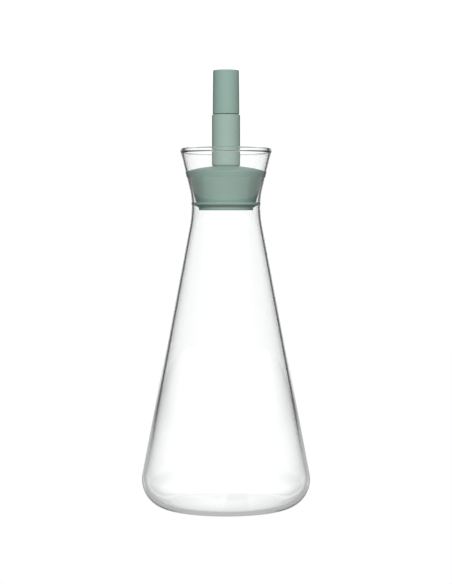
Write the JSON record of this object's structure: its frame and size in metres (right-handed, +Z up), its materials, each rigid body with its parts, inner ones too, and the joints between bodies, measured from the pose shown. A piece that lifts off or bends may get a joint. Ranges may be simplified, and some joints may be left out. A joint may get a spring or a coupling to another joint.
{
  "type": "glass oil cruet with stopper and capped pouring spout",
  "caption": "Tall clear conical glass flask with a flared mouth, closed by a soft grey-green stopper that carries a straight pouring spout under a slim cap.",
  "frame": {"origin": "centre of the flask's base, on the surface it stands on", "axes": "+Z up along the flask's axis, through the stopper, spout and cap; every piece is turned about it, so +X and +Y are alike"},
  "size_m": [0.087, 0.087, 0.2257],
  "materials": {
    "glass": "clear, smooth, thin blown glass",
    "soft_stopper": "satin moulded silicone, grey-green",
    "spout_plastic": "fine matt, grey-green",
    "cap_plastic": "fine matt, grey-green"
  },
  "bodies": {
    "root": {"flask": "glass", "stopper": "soft_stopper", "spout": "spout_plastic", "cap": "cap_plastic"}
  },
  "joints": []
}
